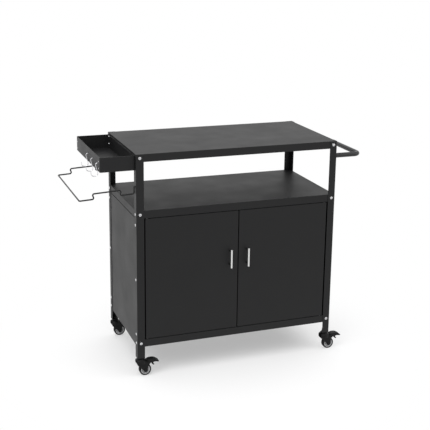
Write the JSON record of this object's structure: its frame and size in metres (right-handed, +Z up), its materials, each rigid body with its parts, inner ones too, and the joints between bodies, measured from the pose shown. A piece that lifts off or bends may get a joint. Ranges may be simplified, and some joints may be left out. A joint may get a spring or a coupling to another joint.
{
  "type": "grill cart",
  "caption": "Rolling outdoor grill cart: angle-steel frame, tabletop, mid shelf, two-door cabinet, side spice tray with hooks, bag holder, towel bar and braked casters.",
  "frame": {"origin": "centre of the whole cart's footprint, on the floor", "axes": "+X from the spice tray to the towel bar, +Y from the doors to the back panel, +Z up"},
  "size_m": [1.163, 0.4675, 0.896],
  "materials": {
    "black_steel": "satin powder coat",
    "holder_wire": "satin powder coat",
    "dark_tube": "satin powder coat",
    "bright_steel": "bright zinc",
    "handle_steel": "brushed",
    "hook_wire": "polished",
    "black_plastic": "moulded",
    "caster_steel": "black plated",
    "hub_plastic": "moulded",
    "tyre_rubber": "moulded"
  },
  "bodies": {
    "frame": {"post_front_left": "black_steel", "post_front_right": "black_steel", "post_back_left": "black_steel", "post_back_right": "black_steel", "tabletop": "black_steel", "mid_shelf": "black_steel", "bottom_shelf": "black_steel", "side_panel_left": "black_steel", "side_panel_right": "black_steel", "back_panel": "black_steel", "door_hinge_pins": "bright_steel", "door_catch": "black_plastic", "spice_tray": "black_steel", "tray_bolts": "bright_steel", "tray_rivets": "bright_steel", "bag_holder": "holder_wire", "towel_bar": "dark_tube", "towel_bar_screws": "bright_steel", "frame_bolts": "bright_steel", "frame_nuts": "bright_steel", "caster_nuts": "caster_steel", "caster_stem_front_left": "caster_steel", "caster_stem_front_right": "caster_steel", "caster_stem_back_left": "caster_steel", "caster_stem_back_right": "caster_steel"},
    "door_left": {"door_left": "black_steel", "door_handle_left": "handle_steel", "handle_posts_left": "black_plastic"},
    "door_right": {"door_right": "black_steel", "door_handle_right": "handle_steel", "handle_posts_right": "black_plastic"},
    "caster_swivel_front_left": {"caster_fork_front_left": "caster_steel", "caster_pins_front_left": "caster_steel"},
    "caster_wheel_front_left": {"caster_wheel_front_left": "hub_plastic", "caster_tyre_front_left": "tyre_rubber"},
    "caster_pedal_front_left": {"brake_pedal_front_left": "black_plastic"},
    "caster_swivel_front_right": {"caster_fork_front_right": "caster_steel", "caster_pins_front_right": "caster_steel"},
    "caster_wheel_front_right": {"caster_wheel_front_right": "hub_plastic", "caster_tyre_front_right": "tyre_rubber"},
    "caster_pedal_front_right": {"brake_pedal_front_right": "black_plastic"},
    "caster_swivel_back_left": {"caster_fork_back_left": "caster_steel", "caster_pins_back_left": "caster_steel"},
    "caster_wheel_back_left": {"caster_wheel_back_left": "hub_plastic", "caster_tyre_back_left": "tyre_rubber"},
    "caster_pedal_back_left": {"brake_pedal_back_left": "black_plastic"},
    "caster_swivel_back_right": {"caster_fork_back_right": "caster_steel", "caster_pins_back_right": "caster_steel"},
    "caster_wheel_back_right": {"caster_wheel_back_right": "hub_plastic", "caster_tyre_back_right": "tyre_rubber"},
    "caster_pedal_back_right": {"brake_pedal_back_right": "black_plastic"},
    "utensil_hook_1": {"utensil_hook_1": "hook_wire"},
    "utensil_hook_2": {"utensil_hook_2": "hook_wire"},
    "utensil_hook_3": {"utensil_hook_3": "hook_wire"}
  },
  "joints": [
    {"name": "door_left_hinge", "type": "hinge", "parent": "frame", "child": "door_left", "pos_m": [-0.3235, -0.20025, 0.4], "axis": [0, 0, -1], "range_deg": [0, 110]},
    {"name": "door_right_hinge", "type": "hinge", "parent": "frame", "child": "door_right", "pos_m": [0.4195, -0.20025, 0.4], "axis": [0, 0, 1], "range_deg": [0, 110]},
    {"name": "swivel_front_left", "type": "hinge", "parent": "frame", "child": "caster_swivel_front_left", "pos_m": [-0.3515, -0.19375, 0.065], "axis": [0, 0, 1], "continuous": true},
    {"name": "wheel_front_left", "type": "hinge", "parent": "caster_swivel_front_left", "child": "caster_wheel_front_left", "pos_m": [-0.3335, -0.19375, 0.024], "axis": [0, 1, 0], "continuous": true},
    {"name": "brake_front_left", "type": "hinge", "parent": "caster_swivel_front_left", "child": "caster_pedal_front_left", "pos_m": [-0.3245, -0.19375, 0.054], "axis": [0, 1, 0], "range_deg": [0, 9.5]},
    {"name": "swivel_front_right", "type": "hinge", "parent": "frame", "child": "caster_swivel_front_right", "pos_m": [0.4475, -0.19375, 0.065], "axis": [0, 0, 1], "continuous": true},
    {"name": "wheel_front_right", "type": "hinge", "parent": "caster_swivel_front_right", "child": "caster_wheel_front_right", "pos_m": [0.4655, -0.19375, 0.024], "axis": [0, 1, 0], "continuous": true},
    {"name": "brake_front_right", "type": "hinge", "parent": "caster_swivel_front_right", "child": "caster_pedal_front_right", "pos_m": [0.4745, -0.19375, 0.054], "axis": [0, 1, 0], "range_deg": [0, 9.5]},
    {"name": "swivel_back_left", "type": "hinge", "parent": "frame", "child": "caster_swivel_back_left", "pos_m": [-0.3515, 0.21225, 0.065], "axis": [0, 0, 1], "continuous": true},
    {"name": "wheel_back_left", "type": "hinge", "parent": "caster_swivel_back_left", "child": "caster_wheel_back_left", "pos_m": [-0.3335, 0.21225, 0.024], "axis": [0, 1, 0], "continuous": true},
    {"name": "brake_back_left", "type": "hinge", "parent": "caster_swivel_back_left", "child": "caster_pedal_back_left", "pos_m": [-0.3245, 0.21225, 0.054], "axis": [0, 1, 0], "range_deg": [0, 9.5]},
    {"name": "swivel_back_right", "type": "hinge", "parent": "frame", "child": "caster_swivel_back_right", "pos_m": [0.4475, 0.21225, 0.065], "axis": [0, 0, 1], "continuous": true},
    {"name": "wheel_back_right", "type": "hinge", "parent": "caster_swivel_back_right", "child": "caster_wheel_back_right", "pos_m": [0.4655, 0.21225, 0.024], "axis": [0, 1, 0], "continuous": true},
    {"name": "brake_back_right", "type": "hinge", "parent": "caster_swivel_back_right", "child": "caster_pedal_back_right", "pos_m": [0.4745, 0.21225, 0.054], "axis": [0, 1, 0], "range_deg": [0, 9.5]},
    {"name": "hook_1_swing", "type": "hinge", "parent": "frame", "child": "utensil_hook_1", "pos_m": [-0.4989, -0.15875, 0.8621], "axis": [0, 1, 0], "range_deg": [0, 25]},
    {"name": "hook_2_swing", "type": "hinge", "parent": "frame", "child": "utensil_hook_2", "pos_m": [-0.4989, -0.07675, 0.8621], "axis": [0, 1, 0], "range_deg": [0, 25]},
    {"name": "hook_3_swing", "type": "hinge", "parent": "frame", "child": "utensil_hook_3", "pos_m": [-0.4989, 0.00525, 0.8621], "axis": [0, 1, 0], "range_deg": [0, 25]}
  ]
}
